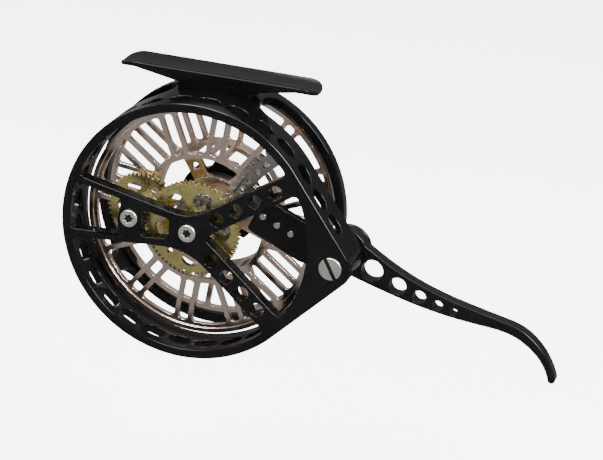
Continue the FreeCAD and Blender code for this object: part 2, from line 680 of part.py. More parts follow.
def make_gears():
    """Main gear, drive pinion, intermediate pair and spool gear, all in mesh at rest."""
    toward_inter = math.degrees(math.atan2(INTER_AXIS[1], INTER_AXIS[0]))
    toward_pivot = PIVOT_ANGLE
    large_holes = [(9.1, angle, 3.55) for angle in (5, 71, 131, 191, 271)]
    gear_body("main_gear", SPOOL_AXIS, int(size("main_teeth")), size("gear_module"), toward_inter,
              "Sizes.main_front", "Sizes.main_width", "Sizes.bush_radius", large_holes + [(11.1, 231, 0.95)])
    half_pinion = 180 / size("inter_pinion_teeth")
    gear_body("intermediate_pinion", INTER_AXIS, int(size("inter_pinion_teeth")), size("gear_module"),
              toward_inter + 180 + half_pinion, "Sizes.main_front - 0.1", "Sizes.main_width + 0.2",
              "Sizes.inter_axle_radius + 0.9")
    gear_body("intermediate_gear", INTER_AXIS, int(size("inter_teeth")), size("gear_module"),
              toward_inter + 180, "Sizes.inter_front", "Sizes.inter_width", "Sizes.inter_axle_radius + 1.8",
              slots=[(6.9, 118 + 72 * index, 3.0, 5.0) for index in range(5)])
    half_spool = 180 / size("spool_gear_teeth")
    gear_body("spool_gear", SPOOL_AXIS, int(size("spool_gear_teeth")), size("gear_module"),
              toward_inter + half_spool, "Sizes.inter_front", "Sizes.inter_width", "Sizes.sleeve_radius")
    half_drive = 180 / size("drive_teeth")
    gear_body("drive_pinion", SPOOL_AXIS, int(size("drive_teeth")), size("sector_module"),
              toward_pivot + half_drive, "Sizes.drive_front", "Sizes.drive_width", "Sizes.bush_radius")
    tube("main_gear_hub", SPOOL_AXIS, "Sizes.bush_radius + 1.6", "Sizes.bush_radius",
         "Sizes.main_front + Sizes.main_width", "Sizes.drive_front - Sizes.main_front - Sizes.main_width",
         "main_gear_hub")
    tube("main_gear_bush", SPOOL_AXIS, "Sizes.bush_radius", "Sizes.axle_radius + Sizes.running_gap",
         "Sizes.main_front - 0.1", "Sizes.drive_front + Sizes.drive_width - Sizes.main_front + 0.2",
         "main_gear_bush")
    tube("intermediate_hub", INTER_AXIS, "Sizes.inter_axle_radius + 1.8", "Sizes.inter_axle_radius + 0.9",
         "Sizes.main_front + Sizes.main_width + 0.1",
         "Sizes.inter_front + Sizes.inter_width - Sizes.main_front - Sizes.main_width - 0.1",
         "intermediate_hub")
    tube("intermediate_bush", INTER_AXIS, "Sizes.inter_axle_radius + 0.9",
         "Sizes.inter_axle_radius + 0.4 + Sizes.running_gap",
         "Sizes.main_front - 0.1", "Sizes.inter_front + Sizes.inter_width - Sizes.main_front + 0.1",
         "intermediate_bush")
    tube("drive_sleeve", SPOOL_AXIS, "Sizes.sleeve_radius", "Sizes.axle_radius + Sizes.running_gap",
         "Sizes.inter_front - 0.3", "27 - Sizes.inter_front", "drive_sleeve")


# ---------------------------------------------------------------- lever

def arm_frame(along, across):
    """Point of the inner arm: along is the distance from the pivot, across is to its upper side."""
    turn = math.radians(size("arm_angle"))
    return (PIVOT[0] + along * math.cos(turn) + across * math.sin(turn),
            PIVOT[1] + along * math.sin(turn) - across * math.cos(turn))


RIVET_PLACES = (16.5, 21.6, 26.7)
RIVET_RADIUS = 1.1


def make_lever_arm():
    """Black inner arm with a slot for the sector."""
    body = new_body("lever_arm")
    upper = 4.7
    lower = -6.5
    pivot_round = size("corner_cavity_radius") - 0.5
    shoulder = 10.0
    sketch = plane_sketch(body, "arm_outline", depth="Sizes.arm_front")
    corners = [(*arm_frame(-pivot_round, pivot_round), pivot_round - 0.2),
               (*arm_frame(-pivot_round, -pivot_round), pivot_round - 0.2),
               (*arm_frame(shoulder - 7, -pivot_round), 3), (*arm_frame(shoulder, lower), 3),
               (*arm_frame(size("arm_length"), lower), 1.4),
               (*arm_frame(size("arm_length"), upper), 1.4),
               (*arm_frame(shoulder, upper), 3), (*arm_frame(shoulder - 5, pivot_round), 3)]
    sketch.addGeometry(rounded(corners), False)
    pad(body, sketch, "Sizes.arm_thickness", "arm_plate")
    holes = plane_sketch(body, "arm_holes", depth="Sizes.arm_front")
    add_circle(holes, PIVOT, "Sizes.hub_sleeve_radius")
    for along in RIVET_PLACES:
        add_circle(holes, arm_frame(along, 0), str(RIVET_RADIUS))
    pocket(body, holes, "arm_hole_cut")
    slot = plane_sketch(body, "sector_slot", depth="Sizes.sector_front")
    slot.addGeometry(rounded([(*arm_frame(12.4, 8), 0), (*arm_frame(12.4, -8), 0),
                              (*arm_frame(40, -8), 0), (*arm_frame(40, 8), 0)]), False)
    pocket(body, slot, "sector_slot_cut", "Sizes.sector_thickness")
    finish(body, "lever_arm")


def make_sector():
    """Steel toothed sector with a row of round holes and a tail that sits in the arm."""
    toward_pinion = PIVOT_ANGLE + 180
    teeth = int(size("sector_teeth"))
    module = size("sector_module")
    pitch = 360 / teeth
    first = -13
    last = 2
    start = size("sector_front")
    thickness = Vector(0, size("sector_thickness"), 0)
    points = [(PIVOT[0] + x, PIVOT[1] + z)
              for x, z in gear_points(teeth, module, toward_pinion, first, last)]
    edges = [Part.LineSegment(front(points[i], start), front(points[i + 1], start)).toShape()
             for i in range(len(points) - 1)]
    inner = size("sector_inner_radius")
    low_angle = toward_pinion + (first - 0.4) * pitch
    high_angle = toward_pinion + (last - 0.6) * pitch
    ends = [front(polar(inner, angle, PIVOT), start)
            for angle in (high_angle, 0.5 * (low_angle + high_angle), low_angle)]
    edges.append(Part.LineSegment(front(points[-1], start), ends[0]).toShape())
    edges.append(Part.Arc(*ends).toShape())
    edges.append(Part.LineSegment(ends[2], front(points[0], start)).toShape())
    band = Part.Face(Part.Wire(Part.sortEdges(edges)[0])).extrude(thickness)
    tail_half = 4.3
    tail_corners = [front(arm_frame(along, across), start) for along, across in (
        (12.6, -tail_half), (36.3, -tail_half), (36.3, tail_half), (12.6, tail_half))]
    tail = Part.Face(Part.makePolygon(tail_corners + tail_corners[:1])).extrude(thickness)
    tools = [Part.makeCylinder(RIVET_RADIUS, 4, front(arm_frame(along, 0), start - 1), FRONT_NORMAL)
             for along in RIVET_PLACES]
    hole_ring = 36.95
    for index in range(8):
        angle = 133.8 + 6.0 * index
        place = front(polar(hole_ring, angle, PIVOT), start - 1)
        tools.append(Part.makeCylinder(1.25, 4, place, FRONT_NORMAL))
    shape = band.fuse(tail).removeSplitter().cut(Part.makeCompound(tools))
    shape_part("toothed_sector", shape, "toothed_sector")
    rivets = []
    for along in RIVET_PLACES:
        base = front(arm_frame(along, 0), size("arm_front") - 0.25)
        rivet = Part.makeCylinder(RIVET_RADIUS, size("arm_thickness") + 0.5, base, FRONT_NORMAL)
        ends = [edge for edge in rivet.Edges if isinstance(edge.Curve, Part.Circle)]
        rivets.append(rivet.makeFillet(0.2, ends))
    shape_part("sector_rivets", Part.makeCompound(rivets), "sector_rivets")


def spline(points):
    """A smooth curve through points given relative to the lever's pivot."""
    curve = Part.BSplineCurve()
    curve.interpolate([Vector(PIVOT[0] + x, PIVOT[1] + z, 0) for x, z in points])
    return curve


LEVER_HOLES = ((9.5, -4.5, 3.55), (18.1, -8.1, 2.8), (25.3, -10.4, 2.15),
               (31.4, -12.1, 1.7), (36.7, -13.3, 1.25))
LEVER_TOP = ((6.7, 3.2), (15.6, -2.1), (26.0, -6.8), (41.2, -11.1), (51.2, -13.2), (58.8, -15.3), (64.5, -19.4),
             (70.7, -29.5))
LEVER_BOTTOM = ((68.4, -30.1), (65.0, -23.8), (60.2, -19.7), (54.6, -17.2), (46.0, -16.1), (31.5, -14.6),
                (16.0, -11.3), (1.6, -7.2))
LEVER_TIP = (69.9, -30.9)


def make_lever():
    """Outer finger lever: a round hub, a tapering blade with five holes and a hooked tip."""
    body = new_body("lever")
    sketch = plane_sketch(body, "lever_outline", depth="Sizes.lever_front")
    top = spline(LEVER_TOP)
    bottom = spline(LEVER_BOTTOM)
    tip = Vector(PIVOT[0] + LEVER_TIP[0], PIVOT[1] + LEVER_TIP[1], 0)
    hub_far = Vector(*polar(size("lever_hub_radius"), 153, PIVOT), 0)
    sketch.addGeometry([top, Part.Arc(top.EndPoint, tip, bottom.StartPoint), bottom,
                        Part.Arc(bottom.EndPoint, hub_far, top.StartPoint)], False)
    pad(body, sketch, "Sizes.lever_thickness", "lever_blade")
    rims = (size("lever_front"), size("lever_front") + size("lever_thickness"))
    fillet(body, "0.45", lambda edge: any(at_depth(edge, depth) for depth in rims), "lever_edge_round")
    holes = plane_sketch(body, "lever_holes", depth="Sizes.lever_front")
    add_circle(holes, PIVOT, "Sizes.hub_sleeve_radius")
    for x, z, radius in LEVER_HOLES:
        add_circle(holes, (PIVOT[0] + x, PIVOT[1] + z), str(radius))
    pocket(body, holes, "lever_hole_cut")
    finish(body, "lever")


def coil(radius, wire, start, pitch, turns, centre):
    """A spring of square wire, coiled along +Y; radius is to the middle of the wire."""
    half = wire / 2
    helix = Part.makeHelix(pitch, pitch * turns, radius)
    corners = [Vector(radius + u * half, 0, v * half) for u, v in ((-1, -1), (1, -1), (1, 1), (-1, 1))]
    section = Part.makePolygon(corners + corners[:1])
    solid = Part.Wire(helix.Edges).makePipeShell([section], True, True)
    solid.Placement = FreeCAD.Placement(front(centre, start), FreeCAD.Rotation(Vector(1, 0, 0), -90))
    return solid


def make_pivot():
    """Pivot axle, its screw, bushes, sleeve, spring, washer and rear cap."""
    end = size("lever_front") + size("lever_thickness")
    cap_front = end + 0.25
    cap_back = cap_front + 1.4
    axle = Part.makeCylinder(size("pivot_radius"), cap_front + 0.7 - size("screw_seat_depth"),
                             front(PIVOT, size("screw_seat_depth")), FRONT_NORMAL)
    shank_radius = 1.2
    shank_end = 8.0
    shape_part("pivot_axle", axle.cut(Part.makeCylinder(shank_radius, shank_end, front(PIVOT), FRONT_NORMAL)),
               "pivot_axle")
    head = Part.makeCylinder(size("pivot_head_radius"), size("screw_seat_depth") + 0.3,
                             front(PIVOT, -0.3), FRONT_NORMAL)
    head = head.makeFillet(0.25, [edge for edge in head.Edges if at_depth(edge, -0.3)])
    slot_width = 1.25
    slot_depth = 1.0
    reach = size("pivot_head_radius") + 1
    slot = Part.makeBox(slot_width, slot_depth, 2 * reach, Vector(-slot_width / 2, -0.3, -reach))
    slot.Placement = FreeCAD.Placement(front(PIVOT), FreeCAD.Rotation(Vector(0, 1, 0), -30))
    shank = Part.makeCylinder(shank_radius, shank_end - 0.5, front(PIVOT, 0.5), FRONT_NORMAL)
    shape_part("pivot_screw", head.cut(slot).fuse(shank), "pivot_screw")
    tube("lever_hub", PIVOT, "Sizes.hub_sleeve_radius", "Sizes.pivot_bush_radius", "Sizes.arm_front",
         "Sizes.lever_front + Sizes.lever_thickness - Sizes.arm_front", "lever_hub")
    tube("pivot_bush", PIVOT, "Sizes.pivot_bush_radius", "Sizes.pivot_radius + Sizes.running_gap",
         "Sizes.arm_front - 0.6", "Sizes.lever_front + Sizes.lever_thickness - Sizes.arm_front + 0.6",
         "pivot_bush")
    tube("thrust_washer", PIVOT, "5.3", "Sizes.hub_sleeve_radius + 0.3", "Sizes.band_depth", "0.2",
         "thrust_washer")
    cap = Part.makeCylinder(7.5, cap_back - cap_front, front(PIVOT, cap_front), FRONT_NORMAL)
    rims = [edge for edge in cap.Edges if isinstance(edge.Curve, Part.Circle)]
    cap = cap.makeFillet(0.4, rims)
    cap = cap.cut(Part.makeCylinder(size("pivot_radius"), 0.7, front(PIVOT, cap_front), FRONT_NORMAL))
    cap = cap.cut(hex_prism(1.4, 0.9, front(PIVOT, cap_back), Vector(0, -1, 0)))
    shape_part("pivot_cap", cap, "pivot_cap")
    shape_part("lever_spring", coil(4.15, 0.6, 11.6, 0.85, 4.0, PIVOT), "lever_spring")


STOP_PLACE = arm_frame(8.0, 6.05)


def make_lever_stop():
    """A pin behind the corner plate that the inner arm rests against."""
    pin = Part.makeCylinder(1.0, 6.0, front(STOP_PLACE, size("plate_depth")), FRONT_NORMAL)
    shape_part("lever_stop", pin, "lever_stop")


# ---------------------------------------------------------------- spool

def spoke_gaps(inner, outer, rounding):
    """Outlines of the narrow gap inside one pair of spokes and of the wide gap up to the next pair."""
    phase = size("spoke_phase")
    step = 360 / size("spoke_pairs")
    half_gap = size("pair_gap") / 2
    spoke_far = half_gap + size("spoke_width")
    narrow = ring_sector(inner, outer, edge_line(phase, -half_gap), edge_line(phase, half_gap), phase)
    wide = ring_sector(inner, outer, edge_line(phase, spoke_far), edge_line(phase + step, -spoke_far),
                       phase + step / 2)
    return outline_curves(flat_face(narrow), rounding) + outline_curves(flat_face(wide), rounding)


def pattern_gaps(body, name, inner, outer, rounding, start, length):
    """Cut one narrow and one wide gap over a range of depth, and repeat them all round."""
    sketch = plane_sketch(body, name + "_gaps", depth=start)
    sketch.addGeometry(spoke_gaps(inner, outer, rounding), False)
    cut = pocket(body, sketch, name + "_gap_cut", length)
    pattern = body.newObject("PartDesign::PolarPattern", name + "_pattern")
    pattern.Originals = [cut]
    axis = next(item for item in body.Origin.OriginFeatures if item.Role == "Y_Axis")
    pattern.Axis = (axis, [""])
    pattern.Angle = 360
    pattern.setExpression("Occurrences", "Sizes.spoke_pairs")
    before = body.Shape.Volume
    body.Tip = pattern
    doc.recompute()
    if pattern.Shape.Volume >= before:
        raise RuntimeError(name + " pattern cut nothing")


def ring_pad(body, name, outer, inner, start, length):
    """Add a ring or tube about the spool axis."""
    sketch = plane_sketch(body, name + "_section", depth=start)
    add_circle(sketch, SPOOL_AXIS, outer)
    add_circle(sketch, SPOOL_AXIS, inner)
    return pad(body, sketch, length, name)


def make_flange(name, start, window_radius, lip_start):
    """A flange of the spool: paired spokes between an inner ring and a rim with a raised lip."""
    body = new_body(name)
    ring_pad(body, name + "_disc", "Sizes.spool_radius", "Sizes.arbor_inner_radius", start,
             "Sizes.flange_thickness")
    pattern_gaps(body, name, size("window_inner_radius"), window_radius, 1.1, start + " - 0.1",
                 "Sizes.flange_thickness + 0.2")
    ring_pad(body, name + "_lip", "Sizes.spool_radius", "Sizes.spool_radius - Sizes.lip_width", lip_start,
             "Sizes.lip_height + Sizes.flange_thickness")
    finish(body, name)


def make_spool():
    """Spool: two spoked flanges, an open arbor, and a hub with a five-armed web.

    The real spool is one piece. Its four simple regions are separate sub-parts that meet face to face.
    """
    make_flange("spool_front_flange", "Sizes.flange_front", size("front_window_radius"),
                "Sizes.flange_front - Sizes.lip_height")
    make_flange("spool_rear_flange", "Sizes.spool_back - Sizes.flange_thickness", size("rear_window_radius"),
                "Sizes.spool_back - Sizes.flange_thickness")
    arbor = new_body("spool_arbor")
    ring_pad(arbor, "arbor_wall", "Sizes.arbor_outer_radius", "Sizes.arbor_inner_radius",
             "Sizes.flange_front + Sizes.flange_thickness",
             "Sizes.spool_back - Sizes.flange_front - 2 * Sizes.flange_thickness")
    pattern_gaps(arbor, "arbor", size("arbor_inner_radius") - 1, size("arbor_outer_radius") + 1, 0.4,
                 "Sizes.flange_front + Sizes.arbor_ring",
                 "Sizes.web_front - 0.4 - Sizes.flange_front - Sizes.arbor_ring")
    finish(arbor, "spool_arbor")
    hub = new_body("spool_hub")
    web = plane_sketch(hub, "web_section", depth="Sizes.web_front")
    web.addGeometry(web_outline(), False)
    add_circle(web, SPOOL_AXIS, "Sizes.hub_bore_radius")
    for index in range(WEB_ARMS):
        add_circle(web, polar(14.5, size("web_phase") + 360 / WEB_ARMS * index), "1.2")
    pad(hub, web, "Sizes.web_thickness", "web")
    ring_pad(hub, "boss", "Sizes.boss_radius", "Sizes.hub_bore_radius", "Sizes.boss_front",
             "Sizes.web_front + Sizes.web_thickness - Sizes.boss_front")
    ring_pad(hub, "hub_tube", "Sizes.hub_tube_radius", "Sizes.hub_bore_radius", "Sizes.hub_front",
             "Sizes.boss_front - Sizes.hub_front + 0.5")
    finish(hub, "spool_hub")


WEB_ARMS = 5


def web_outline():
    """Outline of the web: a disc with straight arms that end on the arbor wall."""
    disc = size("boss_radius")
    reach = size("arbor_inner_radius")
    half = size("web_arm_width") / 2
    step = 360 / WEB_ARMS
    curves = []
    for index in range(WEB_ARMS):
        angle = size("web_phase") + step * index
        lower = edge_line(angle, -half)
        upper = edge_line(angle, half)
        following = edge_line(angle + step, -half)
        root_low = Vector(*on_circle(lower, disc), 0)
        tip_low = Vector(*on_circle(lower, reach), 0)
        tip_high = Vector(*on_circle(upper, reach), 0)
        root_high = Vector(*on_circle(upper, disc), 0)
        next_root = Vector(*on_circle(following, disc), 0)
        curves.append(Part.LineSegment(root_low, tip_low))
        curves.append(Part.Arc(tip_low, Vector(*polar(reach, angle), 0), tip_high))
        curves.append(Part.LineSegment(tip_high, root_high))
        curves.append(Part.Arc(root_high, Vector(*polar(disc, angle + step / 2), 0), next_root))
    return curves


def make_spool_fittings():
    """One-way clutch, bush and bearing inside the spool's hub."""
    tube("front_bush", SPOOL_AXIS, "Sizes.hub_bore_radius", "Sizes.sleeve_radius + Sizes.running_gap",
         "Sizes.hub_front", "2.6", "front_bush")
    tube("clutch_cup", SPOOL_AXIS, "Sizes.hub_bore_radius", "Sizes.cup_inner_radius",
         "Sizes.hub_front + 2.9", "5.6", "clutch_cup")
    ring = 0.5 * (size("sleeve_radius") + size("cup_inner_radius"))
    roller_front = 21.2
    roller_length = 4.6
    rollers = [Part.makeCylinder(size("roller_radius"), roller_length,
                                 front(polar(ring, 45 * index), roller_front), FRONT_NORMAL)
               for index in range(8)]
    shape_part("clutch_rollers", Part.makeCompound(rollers), "clutch_rollers")
    tube("rear_bearing", SPOOL_AXIS, "Sizes.hub_bore_radius", "Sizes.axle_radius + Sizes.running_gap",
         "27.2", "Sizes.web_front + Sizes.web_thickness - 27.2", "rear_bearing")


def make_drag():
    """Drag washer, lobed knob and its screw at the rear."""
    tube("drag_washer", SPOOL_AXIS, "10.6", "Sizes.hub_bore_radius + 0.4",
         "Sizes.web_front + Sizes.web_thickness", "0.75", "drag_washer")
    start = size("knob_front")
    depth = size("knob_back") - start
    outer = size("knob_radius")
    knob = Part.makeCylinder(outer, depth, Vector(0, start, 0), FRONT_NORMAL)
    for index in range(6):
        scallop = front(polar(outer + 2.6, 56 + 60 * index), start - 1)
        knob = knob.cut(Part.makeCylinder(4.6, depth + 2, scallop, FRONT_NORMAL))
    rims = [edge for edge in knob.Edges if at_depth(edge, size("knob_back"))]
    knob = knob.makeFillet(0.6, rims)
    bore_radius = size("axle_radius") + 0.05
    knob = knob.cut(Part.makeCylinder(bore_radius, depth + 2, Vector(0, start - 1, 0), FRONT_NORMAL))
    recess_depth = 1.4
    knob = knob.cut(Part.makeCylinder(4.6, recess_depth + 1, Vector(0, size("knob_back") - recess_depth, 0),
                                      FRONT_NORMAL))
    shape_part("drag_knob", knob, "drag_knob")
    head_start = size("knob_back") - recess_depth + 0.3
    head = Part.makeCylinder(3.6, 0.9, Vector(0, head_start, 0), FRONT_NORMAL)
    head = head.makeFillet(0.25, [edge for edge in head.Edges if at_depth(edge, head_start + 0.9)])
    shank = Part.makeCylinder(1.2, 4.4, Vector(0, head_start - 4.3, 0), FRONT_NORMAL)
    slot = Part.makeBox(8, 0.6, 0.9, Vector(-4, head_start + 0.35, -0.45))
    shape_part("knob_screw", head.fuse(shank).cut(slot), "knob_screw")


def write_parts():
    """Check every object, then write each sub-part's shape."""
    doc.recompute()
    for obj in doc.Objects:
        if "Invalid" in obj.State or "Error" in obj.State:
            raise RuntimeError("object failed: %s %s" % (obj.Name, obj.State))
    for obj in parts:
        shape = obj.Shape
        if shape.isNull() or not shape.isValid():
            raise RuntimeError("bad shape: " + obj.Label)
    os.makedirs("parts", exist_ok=True)
    for obj in parts:
        obj.Shape.exportStep("parts/%s.step" % obj.Label)
        box = obj.Shape.BoundBox
        print("%-22s %2d solids %9.1f mm3  x %.1f..%.1f y %.1f..%.1f z %.1f..%.1f" % (
            obj.Label, len(obj.Shape.Solids), obj.Shape.Volume,
            box.XMin, box.XMax, box.YMin, box.YMax, box.ZMin, box.ZMax))


make_frame()
make_foot()
make_foot_screws()
make_axles()
make_gears()
make_lever_arm()
make_sector()
make_lever()
make_pivot()
make_lever_stop()
make_spool()
make_spool_fittings()
make_drag()
write_parts()
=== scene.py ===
"""Studio picture of a skeletonised, lever-wound fly reel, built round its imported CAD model."""
import json
import math

import bmesh
import bpy
from mathutils import Matrix, Vector


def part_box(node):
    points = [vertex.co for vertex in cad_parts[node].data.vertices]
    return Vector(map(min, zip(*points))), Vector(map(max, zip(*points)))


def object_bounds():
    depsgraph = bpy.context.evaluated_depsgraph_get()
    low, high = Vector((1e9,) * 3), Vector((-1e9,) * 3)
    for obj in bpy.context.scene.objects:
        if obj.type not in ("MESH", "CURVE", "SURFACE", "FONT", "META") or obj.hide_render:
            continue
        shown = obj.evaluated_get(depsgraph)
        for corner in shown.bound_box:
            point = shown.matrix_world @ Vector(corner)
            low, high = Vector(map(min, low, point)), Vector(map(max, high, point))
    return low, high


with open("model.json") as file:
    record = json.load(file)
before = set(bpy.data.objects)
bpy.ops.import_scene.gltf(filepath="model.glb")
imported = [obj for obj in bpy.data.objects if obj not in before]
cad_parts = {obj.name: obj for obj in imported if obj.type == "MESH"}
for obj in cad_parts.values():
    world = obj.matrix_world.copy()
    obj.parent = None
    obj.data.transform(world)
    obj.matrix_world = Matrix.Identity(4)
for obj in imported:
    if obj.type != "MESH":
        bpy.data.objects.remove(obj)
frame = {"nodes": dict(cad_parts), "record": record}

CAD_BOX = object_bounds()
MM = 0.001


# ---------------------------------------------------------------- places read from the frame

def middle(node):
    """Return the centre of a CAD node's box."""
    low, high = (Vector(corner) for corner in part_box(node))
    return (low + high) / 2


SPOOL_AXIS = middle("spool_axle")
PIVOT_AXIS = middle("pivot_axle")
FRONT_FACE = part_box("frame")[0].y


# ---------------------------------------------------------------- material helpers

def new_material(name):
    """Make an empty node material; return it with its nodes, links and principled shader."""
    material = bpy.data.materials.new(name)
    material.use_nodes = True
    nodes = material.node_tree.nodes
    return material, nodes, material.node_tree.links, nodes["Principled BSDF"]


def object_coords(nodes, links, centre, scale):
    """Object coordinates measured from a centre and multiplied by a scale."""
    coords = nodes.new("ShaderNodeTexCoord")
    mapping = nodes.new("ShaderNodeMapping")
    mapping.vector_type = "POINT"
    shift = [-component * factor for component, factor in zip(centre, scale)]
    mapping.inputs["Location"].default_value = shift
    mapping.inputs["Scale"].default_value = scale
    links.new(coords.outputs["Object"], mapping.inputs["Vector"])
    return mapping.outputs["Vector"]


def noise(nodes, links, vector, scale, detail=4.0, roughness=0.6):
    """A noise texture's factor."""
    texture = nodes.new("ShaderNodeTexNoise")
    texture.inputs["Scale"].default_value = scale
    texture.inputs["Detail"].default_value = detail
    texture.inputs["Roughness"].default_value = roughness
    links.new(vector, texture.inputs["Vector"])
    return texture.outputs["Fac"]


def rings(nodes, links, vector, scale, distortion=0.6):
    """Fine turning marks: circles about the Y axis through the coordinates' origin."""
    texture = nodes.new("ShaderNodeTexWave")
    texture.wave_type = "RINGS"
    texture.rings_direction = "Y"
    texture.inputs["Scale"].default_value = scale
    texture.inputs["Distortion"].default_value = distortion
    texture.inputs["Detail"].default_value = 2.0
    texture.inputs["Detail Scale"].default_value = 2.0
    links.new(vector, texture.inputs["Vector"])
    return texture.outputs["Fac"]


def remap(nodes, links, factor, low, high):
    """Spread the middle half of a 0 to 1 factor over low to high."""
    node = nodes.new("ShaderNodeMapRange")
    node.inputs["From Min"].default_value = 0.25
    node.inputs["From Max"].default_value = 0.75
    node.inputs["To Min"].default_value = low
    node.inputs["To Max"].default_value = high
    links.new(factor, node.inputs["Value"])
    return node.outputs["Result"]


def blend_colours(nodes, links, factor, first, second, places=(0.3, 0.7)):
    """Mix two colours by a factor through a ramp."""
    ramp = nodes.new("ShaderNodeValToRGB")
    ramp.color_ramp.elements[0].position = places[0]
    ramp.color_ramp.elements[1].position = places[1]
    ramp.color_ramp.elements[0].color = (*first, 1.0)
    ramp.color_ramp.elements[1].color = (*second, 1.0)
    links.new(factor, ramp.inputs["Fac"])
    return ramp.outputs["Color"]


def add_bump(nodes, links, shader, heights, distance):
    """Chain bump nodes for several height maps; heights are (factor, strength) pairs."""
    normal = None
    for factor, strength in heights:
        bump = nodes.new("ShaderNodeBump")
        bump.inputs["Strength"].default_value = strength
        bump.inputs["Distance"].default_value = distance
        links.new(factor, bump.inputs["Height"])
        if normal:
            links.new(normal, bump.inputs["Normal"])
        normal = bump.outputs["Normal"]
    links.new(normal, shader.inputs["Normal"])


def multiply(nodes, links, colour, factor):
    """Darken a colour by a factor that varies over the surface."""
    mix = nodes.new("ShaderNodeMix")
    mix.data_type = "RGBA"
    mix.blend_type = "MULTIPLY"
    mix.inputs["Factor"].default_value = 1.0
    links.new(colour, mix.inputs["A"])
    links.new(factor, mix.inputs["B"])
    return mix.outputs["Result"]


def speckled(nodes, links, colour, vector, strength):
    """Small dark specks of tarnish."""
    speck_scale = 1400.0
    spots = noise(nodes, links, vector, speck_scale, 2.0)
    shade = blend_colours(nodes, links, spots, (1 - strength,) * 3, (1.0,) * 3, (0.33, 0.45))
    return multiply(nodes, links, colour, shade)


def height_along_y(nodes, links):
    """The Y part of the object coordinates."""
    coords = nodes.new("ShaderNodeTexCoord")
    split = nodes.new("ShaderNodeSeparateXYZ")
    links.new(coords.outputs["Object"], split.inputs["Vector"])
    return split.outputs["Y"]


def painted_recess_shade(nodes, links, colour, depth):
    """Painted shade in a driver recess: everything behind a depth along +Y is nearly black."""
    fade = 0.25 * MM
    darkest = 0.05
    shade = nodes.new("ShaderNodeMapRange")
    shade.inputs["From Min"].default_value = depth
    shade.inputs["From Max"].default_value = depth + fade
    shade.inputs["To Min"].default_value = 1.0
    shade.inputs["To Max"].default_value = darkest
    links.new(height_along_y(nodes, links), shade.inputs["Value"])
    return multiply(nodes, links, colour, shade.outputs["Result"])


def metal(name, colours, rough, metallic=1.0, centre=SPOOL_AXIS, grain=(1, 1, 1), turning=0.0,
          cloud=90.0, fine=1500.0, bump=0.12, specular=0.5, speckle=0.0, painted_shade_from=None):
    """A machined metal: cloudy colour, uneven gloss, fine grain and, where asked, turning rings and painted
    shade in a recess.
    """
    material, nodes, links, shader = new_material(name)
    shader.inputs["Metallic"].default_value = metallic
    shader.inputs["Specular IOR Level"].default_value = specular
    plain = object_coords(nodes, links, centre, (1, 1, 1))
    stretched = object_coords(nodes, links, centre, grain)
    clouds = noise(nodes, links, plain, cloud)
    colour = blend_colours(nodes, links, clouds, *colours)
    if speckle:
        colour = speckled(nodes, links, colour, plain, speckle)
    # Where asked, painted shade: the colour turns nearly black behind a given depth along +Y.
    if painted_shade_from is not None:
        colour = painted_recess_shade(nodes, links, colour, painted_shade_from)
    links.new(colour, shader.inputs["Base Color"])
    smears = noise(nodes, links, stretched, cloud * 3, 6.0)
    links.new(remap(nodes, links, smears, *rough), shader.inputs["Roughness"])
    heights = [(noise(nodes, links, stretched, fine, 3.0), bump)]
    if turning:
        heights.append((rings(nodes, links, plain, turning), bump * 1.2))
    add_bump(nodes, links, shader, heights, 0.02 * MM)
    return material


BLACK_DYE = ((0.0009, 0.0009, 0.001), (0.0014, 0.0014, 0.0016))


def make_materials():
    """One material for every slot of the record, and one for the screws in the front face."""
    return {
        "black_anodised": metal("black_anodised_gloss", BLACK_DYE,
                                (0.08, 0.15), metallic=0.0, turning=700.0, bump=0.02, specular=0.17),
        "black_satin": metal("black_anodised_brushed", BLACK_DYE,
                             (0.17, 0.28), metallic=0.0, centre=PIVOT_AXIS, grain=(1, 1, 6), bump=0.02,
                             specular=0.17),
        "champagne_anodised": metal("champagne_anodised_turned", ((0.79, 0.645, 0.555), (0.86, 0.715, 0.62)),
                                    (0.14, 0.24), turning=900.0, bump=0.05),
        "brass": metal("brass_cut", ((0.72, 0.62, 0.24), (0.84, 0.74, 0.34)), (0.2, 0.34), turning=1100.0,
                       bump=0.1, speckle=0.3),
        "bronze": metal("bronze_sintered", ((0.36, 0.22, 0.11), (0.46, 0.30, 0.16)), (0.35, 0.5), fine=2500.0,
                        bump=0.35),
        "gear_steel": metal("gear_steel_ground", ((0.34, 0.335, 0.32), (0.44, 0.43, 0.415)), (0.22, 0.4),
                            centre=PIVOT_AXIS, turning=800.0, bump=0.2),
        "screw_steel": metal("screw_steel_polished", ((0.56, 0.56, 0.56), (0.68, 0.68, 0.68)), (0.16, 0.3)),
        # The front screws get painted shade in their driver recesses, behind the front face.
        "front_screw": metal("front_screw_steel", ((0.74, 0.72, 0.66), (0.84, 0.82, 0.76)), (0.28, 0.42),
                             centre=PIVOT_AXIS, turning=600.0, bump=0.1, painted_shade_from=FRONT_FACE),
        "ground_steel": metal("ground_steel", ((0.34, 0.34, 0.335), (0.43, 0.43, 0.42)), (0.2, 0.32),
                              grain=(1, 8, 1)),
        "spring_steel": metal("spring_steel", ((0.30, 0.29, 0.28), (0.40, 0.39, 0.37)), (0.25, 0.4)),
        "drag_disc": metal("drag_disc_felt", ((0.02, 0.02, 0.021), (0.045, 0.045, 0.046)), (0.7, 0.9),
                           metallic=0.0, fine=3000.0, bump=0.6),
    }


# ---------------------------------------------------------------- carried-over CAD nodes

# Widths of the broken edges in millimetres.
EDGE_BREAKS = {
    "frame": 0.25, "reel_foot": 0.2, "lever": 0.12, "lever_arm": 0.18, "toothed_sector": 0.1,
    "spool_front_flange": 0.13, "spool_rear_flange": 0.12, "spool_arbor": 0.12, "spool_hub": 0.13,
    "main_gear": 0.07, "intermediate_gear": 0.07, "intermediate_pinion": 0.07, "spool_gear": 0.06,
    "drive_pinion": 0.08, "drag_knob": 0.2, "main_gear_hub": 0.2, "intermediate_hub": 0.2,
    "axle_screw": 0.08, "intermediate_screw": 0.08, "pivot_screw": 0.12, "knob_screw": 0.1,
}
